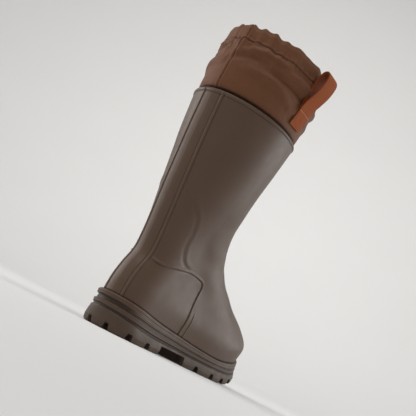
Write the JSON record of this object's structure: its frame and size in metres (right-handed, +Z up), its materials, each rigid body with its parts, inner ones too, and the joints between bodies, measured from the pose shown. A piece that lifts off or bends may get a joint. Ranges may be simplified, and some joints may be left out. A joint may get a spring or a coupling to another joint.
{
  "type": "winter boot",
  "caption": "Left winter boot with a hollow moulded upper, flared lugged sole, gathered cloth cuff above the rim and a webbing pull loop.",
  "frame": {"origin": "on the ground, at the flat of the tread behind the heel's middle, on the boot's centre line", "axes": "+Z up along the shaft, +X towards the toe, +Y towards the outer side of the foot"},
  "size_m": [0.3024, 0.1529, 0.394],
  "materials": {
    "upper_rubber": "satin moulded",
    "sidewall_rubber": "satin moulded",
    "outsole_rubber": "matt",
    "felt": "felt",
    "nylon": "woven",
    "webbing": "woven"
  },
  "bodies": {
    "root": {"upper": "upper_rubber", "midsole": "sidewall_rubber", "outsole": "outsole_rubber", "insole": "felt", "cuff": "nylon", "pull_loop": "webbing"}
  },
  "joints": []
}
